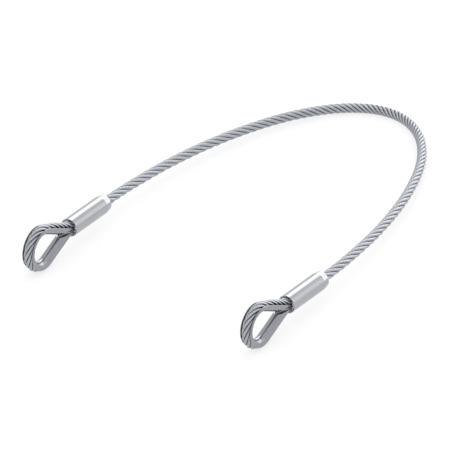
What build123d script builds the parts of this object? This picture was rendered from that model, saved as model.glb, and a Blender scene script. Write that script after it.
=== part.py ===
from build123d import *
import math
import os

# Wire rope sling, 10 mm rope, with a thimble eye and a pressed ferrule at each end. Millimetres, +Z up.
# It lies on a floor, on the lower edge of each eye and on the top of its bend, so its plane slopes.
# It is built in that plane, as (across, along, off the plane), and then laid at the slope.
# Along is 0 at the ferrules' rope side, negative towards the eyes and positive towards the bend.

# Rope
rope_radius = 5.0
core_radius = 1.9

# Ferrule: a straight barrel with a countersunk mouth at the eye, and a taper where the rope leaves
ferrule_radius = 10.0
ferrule_length = 63.8
taper_length = 8.9
taper_end_radius = 8.75
nose_radius = 2.2
nose_face_radius = 6.0
mouth_lip = 0.3
mouth_depth = 3.5
mouth_floor_radius = 7.0

# Eye: the rope's centreline is a round crown and two straight legs that close on the ferrule
crown_radius = 20.6
mouth_to_crown = 50.3
leg_angle = 25.5
leg_offset_in_ferrule = 2.6
leg_blend_radius = 14.0
leg_gap = 0.04
legs_apart_to_mouth = 20.0

# Inside the ferrule the live rope moves over to the centre, and the dead end stops short
straight_at_rope_side = 6.0
crossover_length = 14.0
crossover_radius = 45.0
dead_end_to_rope_side = 22.0

# Thimble: a thin channel with its flanges turned a little outwards
groove_radius = 5.05
thimble_wall = 1.0
flange_half_width = 6.25
flange_height = 1.8
tip_to_middle = 2.0
tip_to_mouth = 2.5

# Free rope between the ferrules: the left half of its route, as (across, along); the right half mirrors it
half_route = [
    (-135.5, 0.0),
    (-135.5, 26.0),
    (-132.7, 63.0),
    (-128.4, 104.2),
    (-119.6, 151.8),
    (-106.7, 198.3),
    (-88.7, 243.8),
    (-67.6, 278.3),
    (-44.3, 303.2),
    (-15.6, 319.0),
]
arc_share = 0.45

# Worked out from the above
half_spacing = -half_route[0][0]
bend_top = half_route[-1][1]
crown_along = -(ferrule_length + mouth_to_crown)
slope = math.degrees(math.asin(crown_radius / (bend_top - crown_along)))
leg = math.radians(leg_angle)


def filleted(points):
    """Straight runs joined by tangent arcs, each as large as its shorter run allows."""
    radii = []
    for before, corner, after in zip(points, points[1:], points[2:]):
        run_in = Vector(*corner) - Vector(*before)
        run_out = Vector(*after) - Vector(*corner)
        half_turn = math.radians(run_in.get_angle(run_out) / 2)
        radii.append(arc_share * min(run_in.length, run_out.length) / math.tan(half_turn))
    print("radii", [round(radius, 1) for radius in radii])
    return FilletPolyline(*points, radius=radii)


def tube(path, radius):
    """A round solid along a path."""
    section = Plane(origin=path @ 0, z_dir=path % 0) * Circle(radius)
    return sweep(section, path)


def eye_half_path(side):
    """Centreline from a ferrule to the crown's tip: side 1 is the live rope, -1 the dead end."""
    tangent_point = (crown_along + crown_radius * math.sin(leg), side * crown_radius * math.cos(leg))
    drop = crown_radius * math.cos(leg) - leg_offset_in_ferrule
    kink = (tangent_point[0] + drop / math.tan(leg), side * leg_offset_in_ferrule)
    if side > 0:
        start = [
            (0, 0, 0),
            (0, -straight_at_rope_side, 0),
            (0, -straight_at_rope_side - crossover_length, leg_offset_in_ferrule),
            (0, *kink),
            (0, *tangent_point),
        ]
        radii = [crossover_radius, crossover_radius, leg_blend_radius]
    else:
        start = [(0, -dead_end_to_rope_side, kink[1]), (0, *kink), (0, *tangent_point)]
        radii = [leg_blend_radius]
    crown_bow = math.radians(45 + leg_angle / 2)
    crown_mid = (
        0,
        crown_along - crown_radius * math.sin(crown_bow - leg),
        side * crown_radius * math.cos(crown_bow - leg),
    )
    crown_tip = (0, crown_along - crown_radius, 0)
    return FilletPolyline(*start, radius=radii) + ThreePointArc(start[-1], crown_mid, crown_tip)


def beyond(side, offset, y_from, y_to):
    """A block that trims one leg (side 1 or -1) at this distance from the plane between the legs."""
    width = 4 * ferrule_radius
    return Pos(0, (y_from + y_to) / 2, side * (offset - width / 2)) * Box(width, y_to - y_from, width)


def whole_eye_rope():
    """The held rope: live rope, eye and dead end, pressed flat where its legs lie together."""
    legs_apart = -ferrule_length - legs_apart_to_mouth
    live = tube(eye_half_path(1), rope_radius)
    live -= beyond(1, leg_gap, legs_apart, -dead_end_to_rope_side)
    dead = tube(eye_half_path(-1), rope_radius)
    dead -= beyond(-1, leg_gap, legs_apart, 0)
    return live + dead


def eye_core():
    """The rope's core through the same route."""
    return tube(eye_half_path(1), core_radius) + tube(eye_half_path(-1), core_radius)


def ferrule(rope):
    """Pressed sleeve: its metal fills the space round the two ropes."""
    taper = [
        (ferrule_radius, -taper_length),
        (taper_end_radius, 0),
        (nose_face_radius, 0),
    ]
    inside = [
        (nose_face_radius, 0),
        (0, 0),
        (0, mouth_depth - ferrule_length),
        (mouth_floor_radius, mouth_depth - ferrule_length),
        (ferrule_radius - mouth_lip, -ferrule_length),
        (ferrule_radius, -ferrule_length),
        (ferrule_radius, -taper_length),
    ]
    profile = FilletPolyline(*taper, radius=nose_radius) + Polyline(*inside)
    return revolve(make_face(profile), Axis.Y) - rope


def thimble_section():
    """Channel section as (across, outwards from the rope's centreline), open outwards."""
    outer = groove_radius + thimble_wall
    inner_edge = flange_half_width - thimble_wall / 2
    outer_edge = flange_half_width + thimble_wall / 2
    return make_face(
        Curve()
        + [
            ThreePointArc((-outer, 0), (0, -outer), (outer, 0)),
            Line((outer, 0), (outer_edge, flange_height)),
            ThreePointArc(
                (outer_edge, flange_height),
                (flange_half_width, flange_height + thimble_wall / 2),
                (inner_edge, flange_height),
            ),
            Line((inner_edge, flange_height), (groove_radius, 0)),
            ThreePointArc((groove_radius, 0), (0, -groove_radius), (-groove_radius, 0)),
            Line((-groove_radius, 0), (-inner_edge, flange_height)),
            ThreePointArc(
                (-inner_edge, flange_height),
                (-flange_half_width, flange_height + thimble_wall / 2),
                (-outer_edge, flange_height),
            ),
            Line((-outer_edge, flange_height), (-outer, 0)),
        ]
    )


def thimble():
    """Round crown and two straight legs, whose tips are cut short of each other and of the ferrule."""
    crown_centre = (0, crown_along, 0)
    tips_along = -ferrule_length - tip_to_mouth
    solid = None
    for side in (1, -1):
        outwards = Vector(0, math.sin(leg), side * math.cos(leg))
        forwards = Vector(0, math.cos(leg), -side * math.sin(leg))
        foot = Vector(*crown_centre) + outwards * crown_radius
        leg_plane = Plane(origin=foot, x_dir=(1, 0, 0), z_dir=forwards)
        section = leg_plane * scale(thimble_section(), by=(1, -side, 1))
        if solid is None:
            solid = revolve(section, Axis(crown_centre, (1, 0, 0)), revolution_arc=180 + 2 * leg_angle)
        straight = extrude(section, amount=mouth_to_crown)
        straight -= beyond(side, tip_to_middle, crown_along, 0)
        straight -= beyond(side, 2 * ferrule_radius, tips_along, 0)
        solid += straight
    return solid


def free_rope():
    """The plain round solid of the rope between the two ferrules."""
    route = half_route + [(-x, y) for x, y in reversed(half_route)]
    path = filleted([(x, y, 0) for x, y in route])
    solid = tube(path, rope_radius)
    print("free rope", round(path.length, 1), "mm long; volume over section times length",
          round(solid.volume / (math.pi * rope_radius**2 * path.length), 5))
    return solid


os.makedirs("parts", exist_ok=True)

rope = whole_eye_rope()
core = eye_core()
end_pieces = {
    "eye_rope": rope - core,
    "eye_core": core,
    "thimble": thimble(),
    "ferrule": ferrule(rope),
}
nodes = {"rope_span": free_rope()}
for side_name, x in (("left", -half_spacing), ("right", half_spacing)):
    for name, solid in end_pieces.items():
        nodes[side_name + "_" + name] = Pos(x, 0, 0) * solid

# The sling's slope, then the origin at the middle of the two ends' box, on the floor.
laid = {name: Rot(-slope, 0, 0) * solid for name, solid in nodes.items()}
ends = Compound([solid for name, solid in laid.items() if name != "rope_span"]).bounding_box()
to_origin = Pos(0, -ends.center().Y, -ends.min.Z)
print("origin shift", round(-ends.center().Y, 3), round(-ends.min.Z, 3), "slope", round(slope, 4))
for name, solid in laid.items():
    export_step(to_origin * solid, "parts/" + name + ".step")
    print(name, len(solid.solids()), "solid", round(solid.volume), "mm3", solid.is_valid)
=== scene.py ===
import math

import bpy
import numpy as np
from mathutils import Matrix, Vector


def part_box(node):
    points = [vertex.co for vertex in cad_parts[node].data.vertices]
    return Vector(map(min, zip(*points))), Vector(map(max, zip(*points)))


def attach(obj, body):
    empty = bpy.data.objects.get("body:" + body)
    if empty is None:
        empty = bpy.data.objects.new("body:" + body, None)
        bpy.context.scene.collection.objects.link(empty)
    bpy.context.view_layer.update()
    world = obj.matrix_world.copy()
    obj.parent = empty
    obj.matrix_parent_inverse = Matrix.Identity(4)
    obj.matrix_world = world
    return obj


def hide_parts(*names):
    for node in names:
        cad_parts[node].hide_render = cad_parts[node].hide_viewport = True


# Wire rope sling. Metres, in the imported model's frame: +X from the left eye to the right one,
# +Y from the eyes to the rope's bend, +Z up. Everything lies in one sloping plane, the sling's plane,
# whose points are (across, along, off the plane), with along 0 at the ferrules' rope side.

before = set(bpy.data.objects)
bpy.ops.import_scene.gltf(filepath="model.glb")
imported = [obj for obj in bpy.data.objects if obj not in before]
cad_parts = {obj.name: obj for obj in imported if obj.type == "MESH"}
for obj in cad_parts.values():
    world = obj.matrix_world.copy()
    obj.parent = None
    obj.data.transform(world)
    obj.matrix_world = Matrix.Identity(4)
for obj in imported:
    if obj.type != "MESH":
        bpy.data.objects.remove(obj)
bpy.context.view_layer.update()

# Light: an even sky, lamps as (direction, inner and outer angle in degrees, strength), and the floor
SKY = 1.0
LAMPS = [
    ((-0.376, 0.709, 0.597), 10, 23, 1.4),
    ((0.0, 1.0, 0.0), 33, 42, 1.2),
    ((0.607, 0.709, 0.359), 6, 24, 0.35),
    ((-0.1, -0.55, 0.83), 4, 18, 1.3),
    ((0.0, 0.2, 0.98), 4, 20, 0.8),
]
FLOOR_ALBEDO = 0.25
FLOOR_GLOW = 0.74
FLOOR_REACH = 20.0

# Camera, relative to the sling's plane: it aims a little right of and above the plane's origin
AZIMUTH = math.radians(35.06)
ELEVATION = math.radians(30.03)
LENS = 1600.0
SENSOR = 36.0
FRAME_WIDTH = 0.4592
AIM_RIGHT = 0.01173
AIM_UP = 0.01559

# Rope: six strands round a core, right-hand lay, each strand of wires laid the other way
ROPE_RADIUS = 0.005
STRANDS = 6
STRAND_CIRCLE = 0.00335
STRAND_RADIUS = 0.00168
LAY_STRAIGHT = 0.0645
LAY_BEND = 0.031
LAY_BEND_REACH = 0.1
LAY_EYE = 0.050
WIRES = 12
WIRE_LAY = 0.0288
WIRE_RELIEF = 0.00012
POINTS_PER_WIRE = 3
# The wire valleys get a little painted shade
WIRE_VALLEY_SHADE = 0.9
CORE_RADIUS = 0.0018
CORE_POINTS = 12
ROPE_STEP = 0.002
EYE_STEP = 0.0012

# Ends, as in the CAD
FERRULE_LENGTH = 0.0638
MOUTH_TO_CROWN = 0.0503
CROWN_RADIUS = 0.0206
LEG_TURN = math.radians(25.5)
LEG_OFFSET = 0.0026
BLEND_RADIUS = 0.014
STRAIGHT_AT_ROPE_SIDE = 0.006
CROSSOVER_LENGTH = 0.014
CROSSOVER_RADIUS = 0.045
DEAD_END = 0.022

# The legs stand a little out of the thimble's groove, from the crown's end to LIFT_END
LEG_LIFT = 0.0015
LIFT_RISE = 0.014
LIFT_FALL = 0.009
LIFT_END = -0.0618

# Where the legs meet, the side of each that faces the other is pressed flat, and keeps at least this
# share of its radius. The room for it is measured along the rope's normal, taken as at least this upright.
LEAST_SHARE = 0.2
LEAST_UPRIGHT = 0.2

# Openness is 1 on a strand's crest and 0 on its flanks. Grooves get painted shade up to these values of
# it, and a value below 0 leaves them light.
GROOVE_STRAIGHT = -1.0
GROOVE_BEND = 0.4
GROOVE_EYE = -0.35
GROOVE_FLANGE = 0.9

# On the upper leg the grooves carry painted shade, as the flange's shadow: dark up to GROOVE_FLANGE beside
# the thimble's flange, FLANGE_TOP off the rope's line or less, and up to GROOVE_EYE again at FLANGE_CLEAR.
# This starts at the crown's centre and is complete LEG_FADE further on.
FLANGE_TOP = 0.0018
FLANGE_CLEAR = 0.0052
LEG_FADE = 0.012

# In the ferrule, and a little way out of its mouth, the rope is never less open than this, so its painted
# groove shade is lighter there
IN_MOUTH = 0.45
MOUTH_FADE = 0.008

# Materials: colour ramps as (position, colour)
FERRULE_BARREL = [(0.3, (0.385, 0.395, 0.415)), (0.7, (0.41, 0.42, 0.44))]
# The cut mouth's light colour is painted light on a face that lies in the rope's shade
FERRULE_CUT_PAINTED_LIGHT = (0.78, 0.79, 0.82)
THIMBLE_ZINC = [(0.3, (0.29, 0.3, 0.32)), (0.7, (0.315, 0.325, 0.345))]
# The rope's low stops are painted shade for the grooves, its high stops the wire's own colour
ROPE_WIRE_AND_GROOVE_SHADE = [
    (0.0, (0.02, 0.022, 0.026)),
    (0.12, (0.065, 0.07, 0.08)),
    (0.42, (0.285, 0.3, 0.325)),
    (0.95, (0.405, 0.42, 0.45)),
]
CUT_METALLIC = 0.3
CUT_ROUGHNESS = 0.5
RELIEF = 0.000002
RELIEF_STRENGTH = 0.5
MIDDLE_LOW = 0.3
MIDDLE_HIGH = 0.7

# The free rope's route: the left half's points, across and along. The right half is its mirror image.
HALF_ROUTE = [
    (-0.1355, 0.0),
    (-0.1355, 0.026),
    (-0.1327, 0.063),
    (-0.1284, 0.1042),
    (-0.1196, 0.1518),
    (-0.1067, 0.1983),
    (-0.0887, 0.2438),
    (-0.0676, 0.2783),
    (-0.0443, 0.3032),
    (-0.0156, 0.319),
]
ROUTE_RESOLUTION = 40
HALF_SPACING = -HALF_ROUTE[0][0]
BEND_TOP = HALF_ROUTE[-1][1]
CROWN_ALONG = -FERRULE_LENGTH - MOUTH_TO_CROWN
SLOPE = math.asin(CROWN_RADIUS / (BEND_TOP - CROWN_ALONG))


def sling_plane():
    """The matrix from the sling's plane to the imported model's frame, from where the left eye lies."""
    eye_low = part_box("left_eye_rope")[0]
    eye_reach = CROWN_RADIUS + ROPE_RADIUS
    turn = Matrix.Rotation(-SLOPE, 4, "X")
    eye_centre = Vector((0, eye_low.y + eye_reach, eye_low.z + eye_reach))
    return Matrix.Translation(eye_centre - turn @ Vector((0, CROWN_ALONG, 0))) @ turn


PLANE = sling_plane()


# Rope


def even_points(points, step):
    """Evenly spaced places along a fine polyline, and the points there."""
    points = np.asarray(points, float)
    along = np.concatenate([[0], np.cumsum(np.linalg.norm(np.diff(points, axis=0), axis=1))])
    places = np.linspace(0, along[-1], max(2, round(along[-1] / step) + 1))
    return places, np.stack([np.interp(places, along, points[:, k]) for k in range(3)], 1)


def route_line():
    """The free rope's line, read from a NURBS spline on the route's points."""
    route = HALF_ROUTE + [(-x, y) for x, y in reversed(HALF_ROUTE)]
    curve = bpy.data.curves.new("rope_route", "CURVE")
    curve.dimensions = "3D"
    spline = curve.splines.new("NURBS")
    spline.points.add(len(route) - 1)
    for point, (x, y) in zip(spline.points, route):
        point.co = (*(PLANE @ Vector((x, y, 0))), 1)
    spline.order_u = 3
    spline.use_endpoint_u = True
    spline.resolution_u = ROUTE_RESOLUTION
    holder = bpy.data.objects.new("rope_route", curve)
    line = bpy.data.meshes.new_from_object(holder)
    points = [tuple(v.co) for v in line.vertices]
    bpy.data.objects.remove(holder)
    return points


def walk(start, heading, moves, step):
    """Points along straight runs (length, 0) and arcs (radius, turn) in the eye's plane."""
    y, z = start
    points = [(0, y, z)]
    for size, turn in moves:
        count = max(2, int((abs(size * turn) if turn else size) / step) + 1)
        for _ in range(count):
            if turn:
                chord = 2 * size * math.sin(abs(turn) / count / 2)
                heading += turn / count / 2
                y, z = y + chord * math.cos(heading), z + chord * math.sin(heading)
                heading += turn / count / 2
            else:
                y, z = y + size / count * math.cos(heading), z + size / count * math.sin(heading)
            points.append((0, y, z))
    return points


def eye_line():
    """The held rope's line in its eye's plane: ferrule, live leg, crown, dead leg, ferrule."""
    crossover = math.atan2(LEG_OFFSET, CROSSOVER_LENGTH)
    crossover_reach = CROSSOVER_RADIUS * math.tan(crossover / 2)
    blend_reach = BLEND_RADIUS * math.tan(LEG_TURN / 2)
    drop = CROWN_RADIUS * math.cos(LEG_TURN) - LEG_OFFSET
    leg_run = drop / math.sin(LEG_TURN) - blend_reach
    kink = -CROWN_ALONG - CROWN_RADIUS * math.sin(LEG_TURN) - drop / math.tan(LEG_TURN)
    crossed = STRAIGHT_AT_ROPE_SIDE + CROSSOVER_LENGTH
    moves = [
        (STRAIGHT_AT_ROPE_SIDE - crossover_reach, 0),
        (CROSSOVER_RADIUS, -crossover),
        (math.hypot(LEG_OFFSET, CROSSOVER_LENGTH) - 2 * crossover_reach, 0),
        (CROSSOVER_RADIUS, crossover),
        (kink - blend_reach - crossed - crossover_reach, 0),
        (BLEND_RADIUS, -LEG_TURN),
        (leg_run, 0),
        (CROWN_RADIUS, math.pi + 2 * LEG_TURN),
        (leg_run, 0),
        (BLEND_RADIUS, -LEG_TURN),
        (kink - blend_reach - DEAD_END, 0),
    ]
    return walk((0, 0), math.pi, moves, EYE_STEP / 3)


def frames(points, side_axis):
    """Each point's tangent, and two directions across the rope, the second along side_axis."""
    tangents = np.gradient(points, axis=0)
    tangents /= np.linalg.norm(tangents, axis=1)[:, None]
    across = np.broadcast_to(np.asarray(side_axis, float), tangents.shape)
    normals = np.cross(across, tangents)
    normals /= np.linalg.norm(normals, axis=1)[:, None]
    return tangents, normals, np.cross(tangents, normals)


def turned_by(places, lay):
    """How far the strands have turned round the rope at each place, for a lay that may vary."""
    rate = 2 * math.pi / np.broadcast_to(lay, places.shape)
    steps = np.diff(places) * (rate[1:] + rate[:-1]) / 2
    return np.concatenate([[0], np.cumsum(steps)])


def strand(places, centres, axes, number, lay):
    """Vertices of one strand, ring by ring, and how open to the light each one is."""
    tangents, normals, sides = axes
    angle = (turned_by(places, lay) + 2 * math.pi * number / STRANDS)[:, None]
    outwards = np.cos(angle) * normals + np.sin(angle) * sides
    around = np.cos(angle) * sides - np.sin(angle) * normals
    slant = 2 * math.pi * STRAND_CIRCLE / np.broadcast_to(lay, places.shape)
    forwards = tangents + slant[:, None] * around
    forwards /= np.linalg.norm(forwards, axis=1)[:, None]
    sideways = np.cross(forwards, outwards)
    count = WIRES * POINTS_PER_WIRE
    section = np.arange(count) * 2 * math.pi / count
    turned = section[None, :] - 2 * math.pi * places[:, None] / WIRE_LAY
    valley = np.arange(count) % POINTS_PER_WIRE == 0
    radius = np.where(valley, STRAND_RADIUS - WIRE_RELIEF, STRAND_RADIUS)[None, :]
    ring = (radius * np.cos(turned))[:, :, None] * outwards[:, None]
    ring = ring + (radius * np.sin(turned))[:, :, None] * sideways[:, None]
    vertices = (centres + STRAND_CIRCLE * outwards)[:, None] + ring
    openness = np.clip(np.cos(turned), 0, 1) * np.where(valley, WIRE_VALLEY_SHADE, 1)[None, :]
    return vertices, openness


def plain_round(centres, axes, radius, count):
    """Vertices of a plain round tube."""
    _, normals, sides = axes
    turned = np.arange(count) * 2 * math.pi / count
    ring = radius * (
        np.cos(turned)[None, :, None] * normals[:, None]
        + np.sin(turned)[None, :, None] * sides[:, None]
    )
    return centres[:, None] + ring, np.zeros((len(centres), count))


def ring_faces(rings, count, first):
    """Quads between rings of count vertices, and a cap on each end."""
    ring = np.arange(rings - 1)[:, None] * count + first
    here = np.arange(count)[None, :]
    after = (here + 1) % count
    quads = np.stack([ring + here, ring + after, ring + count + after, ring + count + here], 2)
    faces = quads.reshape(-1, 4).tolist()
    last = first + (rings - 1) * count
    faces.append(list(range(first + count - 1, first - 1, -1)))
    faces.append(list(range(last, last + count)))
    return faces


def rope_parts(places, centres, axes, lay):
    """Six strands and a core: each one's rings of vertices, and how open every vertex is."""
    parts = [strand(places, centres, axes, number, lay) for number in range(STRANDS)]
    parts.append(plain_round(centres, axes, CORE_RADIUS, CORE_POINTS))
    return parts


def rope_mesh(name, parts):
    """The parts as one object, with the openness as an attribute of its mesh."""
    vertices, openness, faces = [], [], []
    first = 0
    for rings, opens in parts:
        vertices.append(rings.reshape(-1, 3))
        openness.append(opens.reshape(-1))
        faces += ring_faces(rings.shape[0], rings.shape[1], first)
        first += rings.shape[0] * rings.shape[1]
    mesh = bpy.data.meshes.new(name)
    mesh.from_pydata(np.concatenate(vertices).tolist(), [], faces)
    mesh.attributes.new("openness", "FLOAT", "POINT").data.foreach_set(
        "value", np.concatenate(openness).astype(np.float32)
    )
    mesh.shade_smooth()
    piece = bpy.data.objects.new(name, mesh)
    bpy.context.collection.objects.link(piece)
    return piece


def above(opens, dark):
    """Openness counted from the value at which a groove is dark."""
    return np.clip((opens - dark) / (1 - dark), 0, 1)


def free_rope():
    """The rope between the ferrules: its lay shortens and the painted shade in its grooves deepens towards
    the bend.
    """
    places, centres = even_points(route_line(), ROPE_STEP)
    plane_normal = PLANE.to_3x3() @ Vector((0, 0, 1))
    from_top = np.abs(places - places[-1] / 2)
    lay = LAY_STRAIGHT - (LAY_STRAIGHT - LAY_BEND) / (1 + (from_top / LAY_BEND_REACH) ** 2)
    axes = frames(centres, plane_normal)
    bent = ((LAY_STRAIGHT - lay) / (LAY_STRAIGHT - LAY_BEND))[:, None]
    dark = GROOVE_STRAIGHT + (GROOVE_BEND - GROOVE_STRAIGHT) * bent
    parts = rope_parts(places, centres, axes, lay)
    piece = rope_mesh("rope_span_strands", [(rings, above(opens, dark)) for rings, opens in parts])
    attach(piece, "root")
    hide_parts("rope_span")
    return piece


def smooth(value):
    """0 up to 0, 1 from 1 on, and a soft step between."""
    value = np.clip(value, 0, 1)
    return value * value * (3 - 2 * value)


def lift_legs(local):
    """The legs stand a little out of the thimble's groove between its crown and the ferrule."""
    crown_end = CROWN_ALONG + CROWN_RADIUS * math.sin(LEG_TURN)
    along = local[:, 1]
    lift = LEG_LIFT * smooth((along - crown_end) / LIFT_RISE) * smooth((LIFT_END - along) / LIFT_FALL)
    return local - lift[:, None] * frames(local, (1, 0, 0))[1]


def eye_rope(side, across):
    """The held rope of one end, its legs pressed flat where they lie together."""
    places, local = even_points(eye_line(), EYE_STEP)
    local = lift_legs(local) + np.array([across, 0, 0])
    axes = frames(local, (1, 0, 0))
    behind_crown = local[:, 1] > CROWN_ALONG
    upright = np.abs(axes[1][:, 2]).clip(LEAST_UPRIGHT)
    room = np.where(behind_crown, np.abs(local[:, 2]) / upright, 1)
    share = np.clip(room / ROPE_RADIUS, LEAST_SHARE, 1)
    towards = -np.sign(local[:, 2] * axes[1][:, 2])

    def press(rings):
        offset = ((rings - local[:, None]) * axes[1][:, None]).sum(-1)
        facing = offset * towards[:, None] > 0
        less = np.where(facing, offset * (share[:, None] - 1), 0)
        moved = rings + less[:, :, None] * axes[1][:, None]
        turn = np.array(PLANE.to_3x3())
        return moved @ turn.T + np.array(PLANE.translation)

    # Openness for the painted groove shade: deepest beside the upper leg's flange, lighter in the
    # ferrule's mouth
    def light(rings, opens):
        in_mouth = smooth((local[:, 1] + FERRULE_LENGTH) / MOUTH_FADE + 1)[:, None]
        on_upper_leg = np.clip((local[:, 1] - CROWN_ALONG) / LEG_FADE, 0, 1) * (local[:, 2] > 0)
        height = -((rings - local[:, None]) * axes[1][:, None]).sum(-1)
        near_flange = np.clip((FLANGE_CLEAR - height) / (FLANGE_CLEAR - FLANGE_TOP), 0, 1)
        near_flange = near_flange * on_upper_leg[:, None] * (1 - in_mouth)
        opened = above(opens, GROOVE_EYE + (GROOVE_FLANGE - GROOVE_EYE) * near_flange)
        return np.maximum(opened, IN_MOUTH * in_mouth)

    parts = rope_parts(places, local, axes, LAY_EYE)
    piece = rope_mesh(
        side + "_eye_strands", [(press(rings), light(rings, opens)) for rings, opens in parts]
    )
    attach(piece, "root")
    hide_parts(side + "_eye_rope", side + "_eye_core")
    return piece


# Materials


def new_material(name, base, metallic, roughness):
    """A Principled material and its node tree's parts."""
    material = bpy.data.materials.new(name)
    material.use_nodes = True
    nodes = material.node_tree.nodes
    shader = next(node for node in nodes if node.type == "BSDF_PRINCIPLED")
    shader.inputs["Base Color"].default_value = (*base, 1)
    shader.inputs["Metallic"].default_value = metallic
    shader.inputs["Roughness"].default_value = roughness
    return material, nodes, material.node_tree.links, shader


def noise(nodes, links, scale, detail, stretch=(1, 1, 1)):
    """Noise in the object's own metres, drawn out along an axis where stretch is small."""
    place = nodes.new("ShaderNodeTexCoord")
    mapping = nodes.new("ShaderNodeMapping")
    mapping.inputs["Scale"].default_value = stretch
    texture = nodes.new("ShaderNodeTexNoise")
    texture.inputs["Scale"].default_value = scale
    texture.inputs["Detail"].default_value = detail
    links.new(place.outputs["Object"], mapping.inputs["Vector"])
    links.new(mapping.outputs["Vector"], texture.inputs["Vector"])
    return texture.outputs["Fac"]


def spread(nodes, links, source, low, high):
    """The middle range of a 0..1 source, drawn out to low..high."""
    ranged = nodes.new("ShaderNodeMapRange")
    ranged.inputs["From Min"].default_value = MIDDLE_LOW
    ranged.inputs["From Max"].default_value = MIDDLE_HIGH
    ranged.inputs["To Min"].default_value = low
    ranged.inputs["To Max"].default_value = high
    links.new(source, ranged.inputs["Value"])
    return ranged.outputs["Result"]


def colour_ramp(nodes, links, source, stops):
    """Colours along a 0..1 value."""
    ramp = nodes.new("ShaderNodeValToRGB")
    elements = ramp.color_ramp.elements
    while len(elements) < len(stops):
        elements.new(0.5)
    for element, (position, colour) in zip(elements, stops):
        element.position = position
        element.color = (*colour, 1)
    links.new(source, ramp.inputs["Fac"])
    return ramp.outputs["Color"]


def bump(nodes, links, shader, height):
    """Fine relief from a height value."""
    relief = nodes.new("ShaderNodeBump")
    relief.inputs["Strength"].default_value = RELIEF_STRENGTH
    relief.inputs["Distance"].default_value = RELIEF
    links.new(height, relief.inputs["Height"])
    links.new(relief.outputs["Normal"], shader.inputs["Normal"])


def rope_material():
    """Bright drawn wire, with painted shade in the grooves between the strands."""
    material, nodes, links, shader = new_material(
        "rope_wire", (0.45, 0.47, 0.5), metallic=1.0, roughness=0.3
    )
    opens = nodes.new("ShaderNodeAttribute")
    opens.attribute_name = "openness"
    worn = noise(nodes, links, scale=420, detail=4)
    shade = nodes.new("ShaderNodeMath")
    shade.operation = "MULTIPLY"
    links.new(opens.outputs["Fac"], shade.inputs[0])
    links.new(spread(nodes, links, worn, low=0.9, high=1.06), shade.inputs[1])
    # Low openness takes the ramp's dark stops: painted shade in the grooves
    colour = colour_ramp(nodes, links, shade.outputs[0], ROPE_WIRE_AND_GROOVE_SHADE)
    links.new(colour, shader.inputs["Base Color"])
    links.new(spread(nodes, links, worn, low=0.3, high=0.42), shader.inputs["Roughness"])
    return material


def mix(nodes, links, kind, share, first, second):
    """One of two values or colours, by share."""
    node = nodes.new("ShaderNodeMix")
    node.data_type = kind
    links.new(share, node.inputs["Factor"])
    sockets = [socket for socket in node.inputs if socket.name in "AB" and socket.enabled]
    for value, socket in zip((first, second), sockets):
        if isinstance(value, tuple):
            socket.default_value = (*value, 1)
        elif isinstance(value, float):
            socket.default_value = value
        else:
            links.new(value, socket)
    return next(socket for socket in node.outputs if socket.enabled)


def ferrule_material(name):
    """Pressed aluminium: smooth, with faint draw lines on the barrel, and a dull cut mouth whose much
    lighter colour is painted light.
    """
    material, nodes, links, shader = new_material(name, (0.4, 0.41, 0.43), metallic=1.0, roughness=0.14)
    lines = noise(nodes, links, scale=900, detail=3, stretch=(1, 0.03, 1))
    cloud = noise(nodes, links, scale=60, detail=3)
    facing = nodes.new("ShaderNodeVectorMath")
    facing.operation = "DOT_PRODUCT"
    facing.inputs[1].default_value = PLANE.to_3x3() @ Vector((0, -1, 0))
    links.new(nodes.new("ShaderNodeNewGeometry").outputs["Normal"], facing.inputs[0])
    cut = spread(nodes, links, facing.outputs["Value"], low=0.0, high=1.0)
    barrel = colour_ramp(nodes, links, cloud, FERRULE_BARREL)
    # Faces turned towards the eye take the lighter colour: painted light on the cut mouth
    colour = mix(nodes, links, "RGBA", cut, barrel, FERRULE_CUT_PAINTED_LIGHT)
    links.new(colour, shader.inputs["Base Color"])
    drawn = spread(nodes, links, lines, low=0.13, high=0.18)
    links.new(mix(nodes, links, "FLOAT", cut, drawn, CUT_ROUGHNESS), shader.inputs["Roughness"])
    links.new(mix(nodes, links, "FLOAT", cut, 1.0, CUT_METALLIC), shader.inputs["Metallic"])
    bump(nodes, links, shader, lines)
    return material


def thimble_material(name):
    """Galvanised steel sheet: duller, with a faint mottle and fine scratches."""
    material, nodes, links, shader = new_material(name, (0.3, 0.31, 0.33), metallic=1.0, roughness=0.18)
    mottle = noise(nodes, links, scale=260, detail=4)
    colour = colour_ramp(nodes, links, mottle, THIMBLE_ZINC)
    links.new(colour, shader.inputs["Base Color"])
    links.new(spread(nodes, links, mottle, low=0.15, high=0.22), shader.inputs["Roughness"])
    bump(nodes, links, shader, noise(nodes, links, scale=1400, detail=2))
    return material


# Scene


def assign(piece, material):
    """The piece wears this material alone."""
    piece.data.materials.clear()
    piece.data.materials.append(material)


def camera():
    """Seen from the front, the right and above, through a very long lens."""
    right = Vector((math.cos(AZIMUTH), math.sin(AZIMUTH), 0))
    level = Vector((math.sin(AZIMUTH), -math.cos(AZIMUTH), 0))
    back = level * math.cos(ELEVATION) + Vector((0, 0, math.sin(ELEVATION)))
    up = back.cross(right)
    distance = FRAME_WIDTH * LENS / SENSOR
    data = bpy.data.cameras.new("camera")
    data.lens = LENS
    data.sensor_width = SENSOR
    data.clip_start = distance / 10
    data.clip_end = distance * 3
    place = right * AIM_RIGHT + up * AIM_UP + back * distance
    turn = Matrix((right, up, back)).transposed().to_4x4()
    cam = bpy.data.objects.new("camera", data)
    bpy.context.collection.objects.link(cam)
    cam.matrix_world = PLANE @ Matrix.Translation(place) @ turn
    bpy.context.scene.camera = cam


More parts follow.
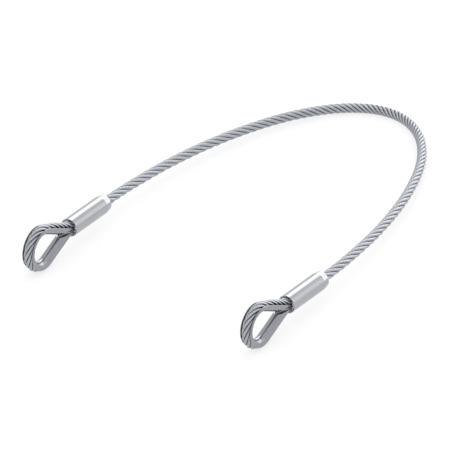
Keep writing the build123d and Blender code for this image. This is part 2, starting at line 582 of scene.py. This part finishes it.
def surround():
    """The studio: an even soft sky and large soft lamps."""
    world = bpy.data.worlds.new("surround")
    world.use_nodes = True
    nodes, links = world.node_tree.nodes, world.node_tree.links
    background = nodes["Background"]
    direction = nodes.new("ShaderNodeTexCoord").outputs["Generated"]
    total = None
    for towards, inner, outer, strength in LAMPS:
        cosine = nodes.new("ShaderNodeVectorMath")
        cosine.operation = "DOT_PRODUCT"
        cosine.inputs[1].default_value = Vector(towards).normalized()
        links.new(direction, cosine.inputs[0])
        lamp = nodes.new("ShaderNodeMapRange")
        lamp.interpolation_type = "SMOOTHSTEP"
        lamp.inputs["From Min"].default_value = math.cos(math.radians(outer))
        lamp.inputs["From Max"].default_value = math.cos(math.radians(inner))
        lamp.inputs["To Max"].default_value = strength
        links.new(cosine.outputs["Value"], lamp.inputs["Value"])
        add = nodes.new("ShaderNodeMath")
        add.inputs[0].default_value = SKY
        if total is not None:
            links.new(total, add.inputs[0])
        links.new(lamp.outputs["Result"], add.inputs[1])
        total = add.outputs[0]
    links.new(total, background.inputs["Strength"])
    background.inputs["Color"].default_value = (1, 1, 1, 1)
    bpy.context.scene.world = world
    bpy.context.scene.view_settings.view_transform = "Standard"


def floor():
    """A plain pale floor. It glows as a light table does, so that the shadows on it stay faint."""
    mesh = bpy.data.meshes.new("floor")
    corners = [(x * FLOOR_REACH, y * FLOOR_REACH, 0) for x, y in ((-1, -1), (1, -1), (1, 1), (-1, 1))]
    mesh.from_pydata(corners, [], [(0, 1, 2, 3)])
    piece = bpy.data.objects.new("floor", mesh)
    bpy.context.collection.objects.link(piece)
    material, _, _, shader = new_material("floor", (FLOOR_ALBEDO,) * 3, metallic=0.0, roughness=0.9)
    shader.inputs["Specular IOR Level"].default_value = 0.0
    shader.inputs["Emission Color"].default_value = (1, 1, 1, 1)
    shader.inputs["Emission Strength"].default_value = FLOOR_GLOW
    assign(piece, material)


camera()
surround()
floor()
wire = rope_material()
assign(free_rope(), wire)
for side, across in (("left", -HALF_SPACING), ("right", HALF_SPACING)):
    assign(eye_rope(side, across), wire)
    assign(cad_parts[side + "_ferrule"], ferrule_material(side + "_ferrule"))
    assign(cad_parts[side + "_thimble"], thimble_material(side + "_thimble"))
